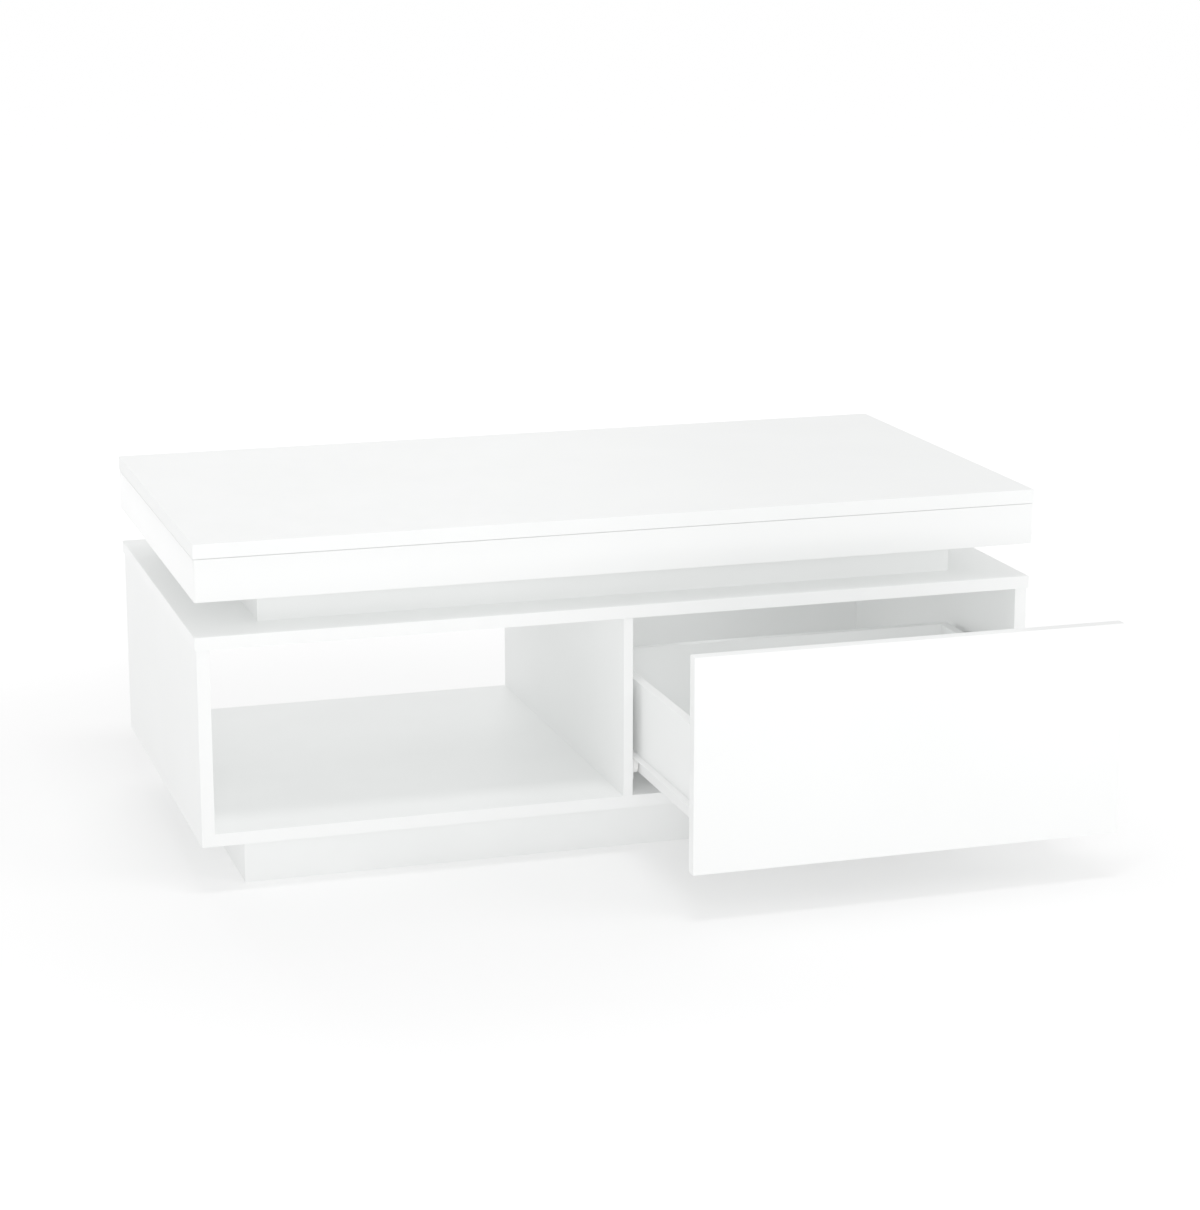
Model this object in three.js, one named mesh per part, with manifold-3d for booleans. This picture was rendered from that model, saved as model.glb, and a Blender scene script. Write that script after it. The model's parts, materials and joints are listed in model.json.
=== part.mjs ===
// A lift top coffee table in white board: a low carcass on a recessed plinth, with an open
// niche on the left and a drawer on the right; a recessed spacer frame on top of it; and a
// shallow box whose lid lifts and comes forward on two parallelogram arms.
//
// Millimetres. +Z is up, +X is to the right as seen from the front, and -Y is the front.
// The origin is on the floor, under the middle of the table top.
// At rest the lid is down and the drawer is pulled out by drawerOut.

import * as THREE from 'three';
import { mergeVertices } from 'three/addons/utils/BufferGeometryUtils.js';
import Module from 'manifold-3d';

const wasm = await Module();
wasm.setup();

// ---------------------------------------------------------------- driving dimensions

// table top
const topLength = 1100;
const topDepth = 580;
const lidThickness = 18;
const lidSeam = 1; // the shadow gap between the lid and the box
const bumperRadius = 5;
const bumperThickness = 0.8;

// the box under the lid
const bandHeight = 53;
const bandThickness = 16;
const trayFloorThickness = 12;

// the recessed spacer frame
const spacerHeight = 45;
const spacerThickness = 16;
const spacerEndInset = 89; // from the end of the top
const spacerFrontInset = 68; // from the front of the top, and the same at the back

// the carcass
const carcassSetback = 7; // the carcass's front, behind the front of the top
const boardThickness = 16;
const bayHeight = 234; // clear height between the bottom and the top board
const overhang = 2; // the carcass's top board past its sides
const dividerThickness = 12;
const dividerFace = -6; // x of the divider's left face
const backThickness = 12;
const backInset = 4;

// the plinth
const plinthHeight = 65;
const plinthThickness = 16;
const plinthEndInset = 62; // from the end of the carcass
const plinthFrontInset = 46; // from the front of the carcass

// the drawer
const drawerOut = 255; // how far the drawer is pulled out at rest
const frontThickness = 16;
const frontProud = 1.5; // the front past the carcass's outline
const frontPastDivider = 0.5; // the front past the divider's left face
const frontGap = 1; // between the front and the carcass when shut
const drawerBoard = 12;
const drawerSideHeight = 115;
const drawerLift = 29; // the drawer sides' lower edge above the carcass's bottom board
const slideClearance = 12.5; // room for a slide at each side of the drawer
const drawerBottomThickness = 3;
const grooveDepth = 5;
const grooveLift = 10; // the groove above the drawer sides' lower edge
const drawerBumperRadius = 4;
const drawerBumperThickness = 2.6;

// the drawer's roller slides
const slideStep = 50; // the slides come in lengths of whole steps
const slideRearRoom = 60; // at least this much room behind the slides
const slideSetback = 2; // the slides behind the sides' front edges
const slideSteel = 1.2;
const angleHeight = 20; // the drawer's angle, up from the drawer side's lower edge
const channelPlay = 1.6; // between a roller and the channel's two flanges, together
const channelSideGap = 2.3; // the channel's flanges short of the drawer side
const rollerRadius = 10.5;
const rollerWidth = 6.6;
const rollerEdge = 0.8; // chamfer on the roller's rims
const rollerRise = 1.3; // the cabinet's roller above its channel
const axleRadius = 2.2;
const axleHeadRadius = 4;
const axleHeadThickness = 0.9;
const rollerSetback = 13; // a roller's axis from the end of its slide
const rollerSideGap = 1.2; // between a roller and the steel that holds its axle
const channelCutback = 2; // the channel's flanges behind the roller in front of them
const runnerGap = 1; // between the drawer's flange and the channel's web
const undersideInset = 0.5; // the drawer's angle short of the drawer side's inner face

// the lift mechanism, one on each side of the well
const pivotSpacing = 100; // between the two arms' pivots
const frontRoom = 76; // from the well's front to the front arm's lower pivot
const rearRoom = 14; // from the rear arm's upper pivot to the well's back
const lowerPivotHeight = 16; // above the well's floor
const upperPivotDrop = 25; // below the lid
const liftAngle = 95;
const steel = 2.5; // bracket plate
const armThickness = 3;
const armHalfWidth = 9;
const pinRadius = 4;
const pinHeadRadius = 7;
const pinHeadThickness = 2;
const shoulderRadius = 6.5;
const baseTopRoom = 2; // from the base bracket's top edge to the spacer's
const baseFoot = 34;
const baseEndRoom = 6; // from the well's front to the base bracket
const baseTail = 30; // the base bracket past the rear arm's lower pivot
const topBracketReach = 200; // the lid's bracket in front of the front arm's upper pivot
const topBracketWidth = 28;
const topBracketNose = 12; // height of the lid's bracket at its front end
const topBracketCheek = 10; // past the pivots' axes
const tubeRadius = 8;
const tubeWall = 1.5;
const tubeAlong = 90; // the cross tube's place along the rear arms
const leverRadius = 22; // the spring's peg from the rear arm's lower pivot
const leverHalfWidth = 6;
const pegRadius = 2.5;
const springRadius = 6;
const springWire = 1.6;
const springHook = 12; // each hooked end of a spring
const stopRadius = 3;
const stopEdge = 6; // the stop's axis below the base bracket's top edge
const studSink = 1; // how far a stud is let into the plate it stands on

// clearances
const gap = 0.3; // between a metal piece and what it is fixed to
const running = 0.3; // around a pin in its hole

// where the mechanism's layers lie, inwards from the well's side wall
const layer = {
  base: [gap, steel],
  followerArm: [4, 4 + armThickness],
  topBracket: [8, 8 + steel],
  mainArm: [12, 12 + armThickness],
  springAxis: 25,
  pegEnd: 30,
};

// ---------------------------------------------------------------- levels and outlines

const bottomTop = plinthHeight + boardThickness;
const bayTop = bottomTop + bayHeight;
const carcassTop = bayTop + boardThickness;
const spacerTop = carcassTop + spacerHeight;
const bandTop = spacerTop + bandHeight;
const lidBottom = bandTop + lidSeam;
const lidTop = lidBottom + lidThickness;

const halfLength = topLength / 2;
const halfDepth = topDepth / 2;
const carcassHalfDepth = halfDepth - carcassSetback;
const bodyHalfLength = halfLength - overhang;
const bodyHalfDepth = carcassHalfDepth - overhang;
const bayRight = bodyHalfLength - boardThickness;
const dividerRight = dividerFace + dividerThickness;

const spacerHalfLength = halfLength - spacerEndInset;
const spacerHalfDepth = halfDepth - spacerFrontInset;
const wellHalfLength = spacerHalfLength - spacerThickness;
const wellHalfDepth = spacerHalfDepth - spacerThickness;

// ---------------------------------------------------------------- finishes

const finishes = {
  whiteBoard: { color: 0xeceeed, roughness: 0.5, metalness: 0 },
  whiteLacquer: { color: 0xf4f6f5, roughness: 0.28, metalness: 0 },
  whiteSteel: { color: 0xe6e8e7, roughness: 0.4, metalness: 0 },
  nylon: { color: 0xf0f0ec, roughness: 0.45, metalness: 0 },
  blackSteel: { color: 0x24262a, roughness: 0.5, metalness: 0.3 },
  zinc: { color: 0xb9bcc0, roughness: 0.3, metalness: 1 },
  clearPad: { color: 0xdadddc, roughness: 0.6, metalness: 0 },
};

// ---------------------------------------------------------------- building blocks

const table = new THREE.Group();

function place(name, geometry, finish) {
  const mesh = new THREE.Mesh(geometry, new THREE.MeshStandardMaterial(finishes[finish]));
  mesh.name = name;
  table.add(mesh);
}

// A box from its lowest to its highest corner.
function block([x0, x1], [y0, y1], [z0, z1]) {
  const box = new THREE.BoxGeometry(x1 - x0, y1 - y0, z1 - z0);
  return box.translate((x0 + x1) / 2, (y0 + y1) / 2, (z0 + z1) / 2);
}

const axisX = new THREE.Vector3(1, 0, 0);
const axisY = new THREE.Vector3(0, 1, 0);
const axisZ = new THREE.Vector3(0, 0, 1);

// A flat piece cut to an outline in the Y-Z plane, between two values of x.
function platePiece(outline, xa, xb) {
  const depth = Math.abs(xb - xa);
  const plate = new THREE.ExtrudeGeometry(outline, { depth, bevelEnabled: false, curveSegments: 12 });
  plate.applyMatrix4(new THREE.Matrix4().makeBasis(axisY, axisZ, axisX));
  return plate.translate(Math.min(xa, xb), 0, 0);
}

// A turned piece whose axis runs along X from (x, y, z), towards +X or -X.
// Its profile lists [radius, distance along the axis].
function turnedPiece(profile, x, y, z, towards, segments = 24) {
  const points = profile.map(([radius, along]) => new THREE.Vector2(radius, along));
  const turned = new THREE.LatheGeometry(points, segments);
  const along = axisX.clone().multiplyScalar(towards);
  const third = axisY.clone().cross(along);
  turned.applyMatrix4(new THREE.Matrix4().makeBasis(axisY, along, third));
  return turned.translate(x, y, z);
}

function outlineOf(points) {
  return new THREE.Shape(points.map(([a, b]) => new THREE.Vector2(a, b)));
}

// A bar with round ends, from a to b, in the Y-Z plane.
function capsule(a, b, radius) {
  const lean = Math.atan2(b.z - a.z, b.y - a.y);
  const shape = new THREE.Shape();
  shape.absarc(a.y, a.z, radius, lean + Math.PI / 2, lean + 1.5 * Math.PI, false);
  shape.absarc(b.y, b.z, radius, lean - Math.PI / 2, lean + Math.PI / 2, false);
  shape.closePath();
  return shape;
}

function toSolid(geometry) {
  const bare = geometry.clone();
  bare.deleteAttribute('normal');
  bare.deleteAttribute('uv');
  const merged = mergeVertices(bare, 1e-4);
  const triVerts = Uint32Array.from(merged.index.array);
  const vertProperties = Float32Array.from(merged.attributes.position.array);
  return new wasm.Manifold(new wasm.Mesh({ numProp: 3, vertProperties, triVerts }));
}

function toGeometry(solid) {
  const mesh = solid.getMesh();
  const geometry = new THREE.BufferGeometry();
  geometry.setAttribute('position', new THREE.BufferAttribute(mesh.vertProperties, 3));
  geometry.setIndex(new THREE.BufferAttribute(mesh.triVerts, 1));
  geometry.computeVertexNormals();
  return geometry;
}

function join(...pieces) {
  return toGeometry(pieces.map(toSolid).reduce((whole, piece) => whole.add(piece)));
}

function cut(whole, ...tools) {
  return toGeometry(tools.map(toSolid).reduce((rest, tool) => rest.subtract(tool), toSolid(whole)));
}

const sides = [
  { name: 'left', sign: -1 },
  { name: 'right', sign: 1 },
];

// ---------------------------------------------------------------- plinth

function buildPlinth() {
  const outerX = halfLength - plinthEndInset;
  const outerY = carcassHalfDepth - plinthFrontInset;
  const innerY = outerY - plinthThickness;
  const tall = [0, plinthHeight];
  place('plinth_front', block([-outerX, outerX], [-outerY, -innerY], tall), 'whiteBoard');
  place('plinth_back', block([-outerX, outerX], [innerY, outerY], tall), 'whiteBoard');
  for (const { name, sign } of sides) {
    const ends = [sign * outerX, sign * (outerX - plinthThickness)].sort((a, b) => a - b);
    place(`plinth_${name}`, block(ends, [-innerY, innerY], tall), 'whiteBoard');
  }
  const half = plinthThickness / 2;
  place('plinth_centre_rail', block([-half, half], [-innerY, innerY], tall), 'whiteBoard');
}

// ---------------------------------------------------------------- carcass

function buildCarcass() {
  const deep = [-bodyHalfDepth, bodyHalfDepth];
  const bay = [bottomTop, bayTop];
  const low = [plinthHeight, bottomTop];
  const high = [bayTop, carcassTop];
  place('carcass_bottom', block([-bodyHalfLength, bodyHalfLength], deep, low), 'whiteBoard');
  place('carcass_left_side', block([-bodyHalfLength, -bayRight], deep, bay), 'whiteBoard');
  place('carcass_right_side', block([bayRight, bodyHalfLength], deep, bay), 'whiteBoard');
  place('carcass_divider', block([dividerFace, dividerRight], deep, bay), 'whiteBoard');
  const lid = block([-halfLength, halfLength], [-carcassHalfDepth, carcassHalfDepth], high);
  place('carcass_top', lid, 'whiteBoard');
  const backY = bodyHalfDepth - backInset;
  const back = block([dividerRight, bayRight], [backY - backThickness, backY], bay);
  place('drawer_bay_back', back, 'whiteBoard');
}

// ---------------------------------------------------------------- spacer, box and lid

// Four boards round a rectangle: the front and back run the full length.
function buildFrame(prefix, outerX, outerY, thickness, tall, finish) {
  const innerY = outerY - thickness;
  place(`${prefix}_front`, block([-outerX, outerX], [-outerY, -innerY], tall), finish);
  place(`${prefix}_back`, block([-outerX, outerX], [innerY, outerY], tall), finish);
  for (const { name, sign } of sides) {
    const ends = [sign * outerX, sign * (outerX - thickness)].sort((a, b) => a - b);
    place(`${prefix}_${name}`, block(ends, [-innerY, innerY], tall), finish);
  }
}

function buildBox() {
  const spacerTall = [carcassTop, spacerTop];
  buildFrame('spacer', spacerHalfLength, spacerHalfDepth, spacerThickness, spacerTall, 'whiteBoard');
  buildFrame('box', halfLength, halfDepth, bandThickness, [spacerTop, bandTop], 'whiteLacquer');
  const innerX = halfLength - bandThickness;
  const innerY = halfDepth - bandThickness;
  const tall = [spacerTop, spacerTop + trayFloorThickness];
  const tray = cut(
    block([-innerX, innerX], [-innerY, innerY], tall),
    block([-wellHalfLength, wellHalfLength], [-wellHalfDepth, wellHalfDepth], [tall[0] - 1, tall[1] + 1]),
  );
  place('box_floor', tray, 'whiteBoard');
  const lid = block([-halfLength, halfLength], [-halfDepth, halfDepth], [lidBottom, lidTop]);
  place('lid_panel', lid, 'whiteBoard');
}

// Thin pads on the box's rim, near its corners, that the lid comes down on.
function buildLidBumpers() {
  const x = halfLength - bandThickness / 2;
  const y = halfDepth - bandThickness * 2;
  for (const { name, sign } of sides) {
    for (const [end, front] of [['front', -1], ['back', 1]]) {
      const pad = new THREE.CylinderGeometry(bumperRadius, bumperRadius, bumperThickness, 20);
      pad.applyMatrix4(new THREE.Matrix4().makeBasis(axisY, axisZ, axisX));
      pad.translate(sign * x, front * y, bandTop + bumperThickness / 2);
      place(`lid_bumper_${end}_${name}`, pad, 'clearPad');
    }
  }
}

// ---------------------------------------------------------------- drawer

const drawerLeft = dividerRight + slideClearance;
const drawerRight = bayRight - slideClearance;
const drawerFace = -carcassHalfDepth - frontGap - drawerOut; // the drawer front's inner face
const bayDepth = 2 * bodyHalfDepth - backInset - backThickness;
const slideRoom = bayDepth - slideSetback - slideRearRoom;
const slideLength = slideStep * Math.floor(slideRoom / slideStep);
const drawerRear = drawerFace + slideLength;
const drawerLow = bottomTop + drawerLift;
const drawerHigh = drawerLow + drawerSideHeight;
const grooveLow = drawerLow + grooveLift;
const grooveHigh = grooveLow + drawerBottomThickness + 2 * gap;

function buildDrawer() {
  const inLeft = drawerLeft + drawerBoard;
  const inRight = drawerRight - drawerBoard;
  const rearFace = drawerRear - drawerBoard;
  const tall = [drawerLow, drawerHigh];
  const grooved = (board) => cut(
    board,
    block(
      [inLeft - grooveDepth, inRight + grooveDepth],
      [drawerFace - grooveDepth, rearFace + grooveDepth],
      [grooveLow, grooveHigh],
    ),
  );
  const front = block(
    [dividerFace - frontPastDivider, halfLength + frontProud],
    [drawerFace - frontThickness, drawerFace],
    [plinthHeight - frontProud, carcassTop + frontProud],
  );
  place('drawer_front', grooved(front), 'whiteLacquer');
  const long = [drawerFace, drawerRear];
  place('drawer_left_side', grooved(block([drawerLeft, inLeft], long, tall)), 'whiteBoard');
  place('drawer_right_side', grooved(block([inRight, drawerRight], long, tall)), 'whiteBoard');
  const back = block([inLeft, inRight], [rearFace, drawerRear], tall);
  place('drawer_back', grooved(back), 'whiteBoard');
  const bottom = block(
    [inLeft - grooveDepth + gap, inRight + grooveDepth - gap],
    [drawerFace - grooveDepth + gap, rearFace + grooveDepth - gap],
    [grooveLow + gap, grooveHigh - gap],
  );
  place('drawer_bottom', bottom, 'whiteBoard');
}

// Pads on the drawer front's inner face, which meet the divider's and the side's front edges.
function buildDrawerBumpers() {
  const z = bayTop - boardThickness;
  const xs = { left: (dividerFace + dividerRight) / 2, right: (bayRight + bodyHalfLength) / 2 };
  for (const [name, x] of Object.entries(xs)) {
    const pad = new THREE.CylinderGeometry(
      drawerBumperRadius, drawerBumperRadius, drawerBumperThickness, 20,
    );
    pad.translate(x, drawerFace + drawerBumperThickness / 2, z);
    place(`drawer_bumper_${name}`, pad, 'clearPad');
  }
}

// ---------------------------------------------------------------- roller slides

// The drawer's angle has a flange that runs on the cabinet's roller, over the channel.
const webLow = drawerLow - gap - slideSteel;
const runnerHigh = drawerLow + angleHeight;
const runnerLow = runnerHigh - slideSteel;
const cabinetRollerZ = runnerLow - running - rollerRadius;
const channelHigh = runnerLow - running - rollerRise;
const channelLow = channelHigh - 2 * (rollerRadius + slideSteel) - channelPlay;
const drawerRollerZ = channelLow + slideSteel + running + rollerRadius;

function roller(x, y, z, towards) {
  const bore = axleRadius + running;
  const profile = [
    [bore, 0],
    [rollerRadius - rollerEdge, 0],
    [rollerRadius, rollerEdge],
    [rollerRadius, rollerWidth - rollerEdge],
    [rollerRadius - rollerEdge, rollerWidth],
    [bore, rollerWidth],
    [bore, 0],
  ];
  return turnedPiece(profile, x, y, z, towards, 32);
}

// An axle with a rivet head at its far end.
function axle(x, y, z, towards, length) {
  const profile = [
    [0, 0],
    [axleRadius, 0],
    [axleRadius, length],
    [axleHeadRadius, length],
    [axleHeadRadius, length + axleHeadThickness],
    [0, length + axleHeadThickness],
  ];
  return turnedPiece(profile, x, y, z, towards, 20);
}

// wall is the cabinet face that the slide is screwed to, and inward points from it to the drawer.
function buildSlide(name, wall, inward) {
  const at = (distance) => wall + inward * distance;
  const span = (from, to) => [at(from), at(to)].sort((a, b) => a - b);

  // the cabinet's channel, open towards the drawer, with its roller in front
  const front = -bodyHalfDepth + slideSetback;
  const rear = front + slideLength;
  const flangeFront = front + rollerSetback + rollerRadius + channelCutback;
  const web = [gap, gap + slideSteel];
  const flange = [gap, slideClearance - channelSideGap];
  const cabinetRollerY = front + rollerSetback;
  const cabinetRollerFrom = web[1] + rollerSideGap;
  const channel = join(
    block(span(...web), [front, rear], [channelLow, channelHigh]),
    block(span(...flange), [flangeFront, rear], [channelLow, channelLow + slideSteel]),
    block(span(...flange), [flangeFront, rear], [channelHigh - slideSteel, channelHigh]),
    axle(
      at(web[0] + slideSteel / 2), cabinetRollerY, cabinetRollerZ, inward,
      cabinetRollerFrom - web[0] - slideSteel / 2 + rollerWidth + running,
    ),
  );
  place(`cabinet_slide_${name}`, channel, 'whiteSteel');
  place(
    `cabinet_roller_${name}`,
    roller(at(cabinetRollerFrom), cabinetRollerY, cabinetRollerZ, inward),
    'nylon',
  );

  // the drawer's angle, under and beside the drawer side, with its roller at the back
  const face = slideClearance - gap; // the angle's face that lies on the drawer side
  const skin = [face - slideSteel, face];
  const long = [drawerFace + gap, drawerRear];
  const drawerRollerY = drawerRear - rollerSetback;
  const drawerRollerFrom = skin[0] - rollerSideGap;
  const angle = join(
    block(span(...skin), long, [webLow, runnerHigh]),
    block(span(skin[0], slideClearance + drawerBoard - undersideInset), long, [webLow, webLow + slideSteel]),
    block(span(web[1] + runnerGap, skin[1]), long, [runnerLow, runnerHigh]),
    axle(
      at(skin[1] - slideSteel / 2), drawerRollerY, drawerRollerZ, -inward,
      skin[1] - slideSteel / 2 - drawerRollerFrom + rollerWidth + running,
    ),
  );
  place(`drawer_slide_${name}`, angle, 'whiteSteel');
  place(
    `drawer_roller_${name}`,
    roller(at(drawerRollerFrom), drawerRollerY, drawerRollerZ, -inward),
    'nylon',
  );
}

// ---------------------------------------------------------------- lift mechanism

// The four pivots of one parallelogram with the lid down, in the Y-Z plane.
const armReach = 2 * wellHalfDepth - pivotSpacing - frontRoom - rearRoom;
const lowerZ = carcassTop + lowerPivotHeight;
const upperZ = lidBottom - upperPivotDrop;
const followerLower = { y: -wellHalfDepth + frontRoom, z: lowerZ };
const mainLower = { y: followerLower.y + pivotSpacing, z: lowerZ };
const followerUpper = { y: followerLower.y + armReach, z: upperZ };
const mainUpper = { y: mainLower.y + armReach, z: upperZ };
const armLength = Math.hypot(armReach, upperZ - lowerZ);
const downAngle = Math.atan2(upperZ - lowerZ, armReach);

// A point at a distance and an angle from another, in the Y-Z plane.
function around(centre, distance, angle) {
  return { y: centre.y + distance * Math.cos(angle), z: centre.z + distance * Math.sin(angle) };
}

// The spring's peg stands as far behind the pivot with the lid down as in front of it when raised.
const halfLift = THREE.MathUtils.degToRad(liftAngle / 2);
const pegPoint = around(mainLower, leverRadius, Math.PI / 2 - halfLift);
const springAnchorY = -wellHalfDepth + baseEndRoom + steel;

// A hole or a stud along X through the layers.
function rod(point, radius, xa, xb, segments = 24) {
  const length = Math.abs(xb - xa);
  const profile = [[0, 0], [radius, 0], [radius, length], [0, length]];
  return turnedPiece(profile, Math.min(xa, xb), point.y, point.z, 1, segments);
}

function buildLift({ name, sign }) {
  const at = (inward) => sign * (wellHalfLength - inward);
  const span = (from, to) => [at(from), at(to)].sort((a, b) => a - b);
  const drill = (point) => rod(point, pinRadius + running, at(0), at(baseFoot));

  // base bracket: a wall plate, a foot, a tab for the spring and a stop for the raised arm
  const baseFront = springAnchorY - steel;
  const baseRear = mainLower.y + baseTail;
  const floor = carcassTop + gap;
  const raised = downAngle + 2 * halfLift;
  const baseTop = spacerTop - baseTopRoom;
  const stopAside = armHalfWidth + stopRadius + gap;
  const stopRise = baseTop - stopEdge - lowerZ - stopAside * Math.cos(raised);
  const stopFoot = around(followerLower, stopRise / Math.sin(raised), raised);
  const stop = around(stopFoot, stopAside, raised + Math.PI / 2);
  const tabSpan = span(layer.springAxis - springRadius, layer.springAxis + springRadius);
  const hookHole = new THREE.CylinderGeometry(pegRadius, pegRadius, 4 * steel, 16);
  hookHole.translate(at(layer.springAxis), springAnchorY, pegPoint.z);
  const base = cut(
    join(
      block(span(...layer.base), [baseFront, baseRear], [floor, baseTop]),
      block(span(gap, baseFoot), [baseFront, baseRear], [floor, floor + steel]),
      block(tabSpan, [baseFront, springAnchorY], [floor, pegPoint.z + springRadius]),
      rod(stop, stopRadius, at(layer.base[0] + studSink), at(layer.followerArm[1])),
    ),
    hookHole,
  );
  place(`lift_base_${name}`, base, 'blackSteel');

  // arms
  const follower = cut(
    platePiece(capsule(followerLower, followerUpper, armHalfWidth), ...layer.followerArm.map(at)),
    drill(followerLower),
    drill(followerUpper),
  );
  place(`front_arm_${name}`, follower, 'blackSteel');
  const main = cut(
    join(
      platePiece(capsule(mainLower, mainUpper, armHalfWidth), ...layer.mainArm.map(at)),
      platePiece(capsule(mainLower, pegPoint, leverHalfWidth), ...layer.mainArm.map(at)),
    ),
    drill(mainLower),
    drill(mainUpper),
  );
  const peg = rod(pegPoint, pegRadius, at(layer.mainArm[0] + studSink), at(layer.pegEnd), 16);
  place(`rear_arm_${name}`, join(main, peg), 'blackSteel');

  // the lid's bracket: a cheek beside the upper pivots and a flange under the lid
  const lidFace = lidBottom - gap;
  const noseY = followerUpper.y - topBracketReach;
  const cheekLow = upperZ - topBracketCheek;
  const cheek = outlineOf([
    [noseY, lidFace],
    [noseY, lidFace - topBracketNose],
    [followerUpper.y - 2 * topBracketCheek, cheekLow],
    [mainUpper.y + topBracketCheek, cheekLow],
    [mainUpper.y + topBracketCheek, lidFace],
  ]);
  const bracket = join(
    platePiece(cheek, ...layer.topBracket.map(at)),
    block(
      span(layer.topBracket[0], layer.topBracket[0] + topBracketWidth),
      [noseY, mainUpper.y + topBracketCheek],
      [lidFace - steel, lidFace],
    ),
  );
  place(`lid_bracket_${name}`, bracket, 'blackSteel');

  // pivot pins: a shoulder, a shank through the arm and a head
  const pin = (from, to, arm) => {
    const away = Math.sign(to - from);
    const near = away > 0 ? arm[0] - gap : arm[1] + gap;
    const far = away > 0 ? arm[1] + gap : arm[0] - gap;
    const start = from + away * gap;
    const profile = [
      [0, 0],
      [shoulderRadius, 0],
      [shoulderRadius, Math.abs(near - start)],
      [pinRadius, Math.abs(near - start)],
      [pinRadius, Math.abs(far - start)],
      [pinHeadRadius, Math.abs(far - start)],
      [pinHeadRadius, Math.abs(far - start) + pinHeadThickness],
      [0, Math.abs(far - start) + pinHeadThickness],
    ];
    return (point) => turnedPiece(profile, at(start), point.y, point.z, -sign * away);
  };
  const fromBase = layer.base[1];
  const [cheekOut, cheekIn] = layer.topBracket;
  const pins = {
    front_arm_lower_pin: pin(fromBase, layer.followerArm[1], layer.followerArm)(followerLower),
    front_arm_upper_pin: pin(cheekOut, layer.followerArm[0], layer.followerArm)(followerUpper),
    rear_arm_lower_pin: pin(fromBase, layer.mainArm[1], layer.mainArm)(mainLower),
    rear_arm_upper_pin: pin(cheekIn, layer.mainArm[1], layer.mainArm)(mainUpper),
  };
  for (const [pinName, geometry] of Object.entries(pins)) {
    place(`${pinName}_${name}`, geometry, 'zinc');
  }

  // extension spring from the base's tab to the rear arm's peg
  const coilFrom = springAnchorY + springHook;
  const coilTo = pegPoint.y - springHook;
  const coil = new THREE.CylinderGeometry(springRadius, springRadius, coilTo - coilFrom, 20);
  coil.translate(at(layer.springAxis), (coilFrom + coilTo) / 2, pegPoint.z);
  const hookFrom = springAnchorY + gap;
  const hookTo = pegPoint.y - pegRadius - gap;
  const hook = new THREE.CylinderGeometry(springWire / 2, springWire / 2, hookTo - hookFrom, 12);
  hook.translate(at(layer.springAxis), (hookFrom + hookTo) / 2, pegPoint.z);
  place(`lift_spring_${name}`, join(coil, hook), 'zinc');
}

// The tube that makes the two rear arms move as one.
function buildCrossTube() {
  const centre = around(mainLower, tubeAlong, downAngle);
  const reach = wellHalfLength - layer.mainArm[1] - gap;
  const profile = [
    [tubeRadius - tubeWall, 0],
    [tubeRadius, 0],
    [tubeRadius, 2 * reach],
    [tubeRadius - tubeWall, 2 * reach],
    [tubeRadius - tubeWall, 0],
  ];
  place('cross_tube', turnedPiece(profile, -reach, centre.y, centre.z, 1), 'blackSteel');
}

// ---------------------------------------------------------------- the table

buildPlinth();
buildCarcass();
buildBox();
buildLidBumpers();
buildDrawer();
buildDrawerBumpers();
buildSlide('left', dividerRight, 1);
buildSlide('right', bayRight, -1);
sides.forEach(buildLift);
buildCrossTube();

export default table;
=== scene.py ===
"""The lift top coffee table's looks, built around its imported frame.

The CAD meshes stay as they are. They get procedural materials and, where sharp, soft edges.
Built here: edge strips, screws, screw caps, nails and plinth corner blocks, and the pieces that
stand in for plain CAD shapes, which are the box's mitred boards, rollers, bumpers and springs.
Metres, +Z up, -Y is the front.
"""

import json
import math

import bmesh
import bpy
from mathutils import Matrix, Vector


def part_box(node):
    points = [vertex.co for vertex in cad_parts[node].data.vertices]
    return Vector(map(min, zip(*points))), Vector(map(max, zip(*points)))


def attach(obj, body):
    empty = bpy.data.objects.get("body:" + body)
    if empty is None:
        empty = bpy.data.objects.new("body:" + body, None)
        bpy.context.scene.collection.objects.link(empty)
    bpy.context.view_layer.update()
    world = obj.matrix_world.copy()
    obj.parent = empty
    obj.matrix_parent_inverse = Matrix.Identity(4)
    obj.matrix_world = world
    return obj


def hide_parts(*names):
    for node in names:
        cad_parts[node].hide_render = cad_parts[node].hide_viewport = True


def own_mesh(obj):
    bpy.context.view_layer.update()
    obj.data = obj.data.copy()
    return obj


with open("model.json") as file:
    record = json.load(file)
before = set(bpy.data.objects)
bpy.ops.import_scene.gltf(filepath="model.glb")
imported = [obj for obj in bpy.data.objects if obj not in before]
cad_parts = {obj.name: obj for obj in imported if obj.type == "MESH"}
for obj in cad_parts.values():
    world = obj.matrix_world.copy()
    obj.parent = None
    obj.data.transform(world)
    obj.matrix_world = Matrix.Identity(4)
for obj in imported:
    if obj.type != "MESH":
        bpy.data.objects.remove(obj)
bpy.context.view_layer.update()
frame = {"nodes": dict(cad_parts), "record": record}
MM = 0.001
X_AXIS, Y_AXIS, Z_AXIS = Vector((1, 0, 0)), Vector((0, 1, 0)), Vector((0, 0, 1))
SIDES = (("left", -1), ("right", 1))

BODY_OF = {
    node: body
    for body, nodes in frame["record"]["behaviour"]["bodies"].items()
    for node in nodes
}
SLOT_OF = {part["node"]: part["material_slot"] for part in frame["record"]["subparts"]}


# ---------------------------------------------------------------- camera, light and floor

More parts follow.
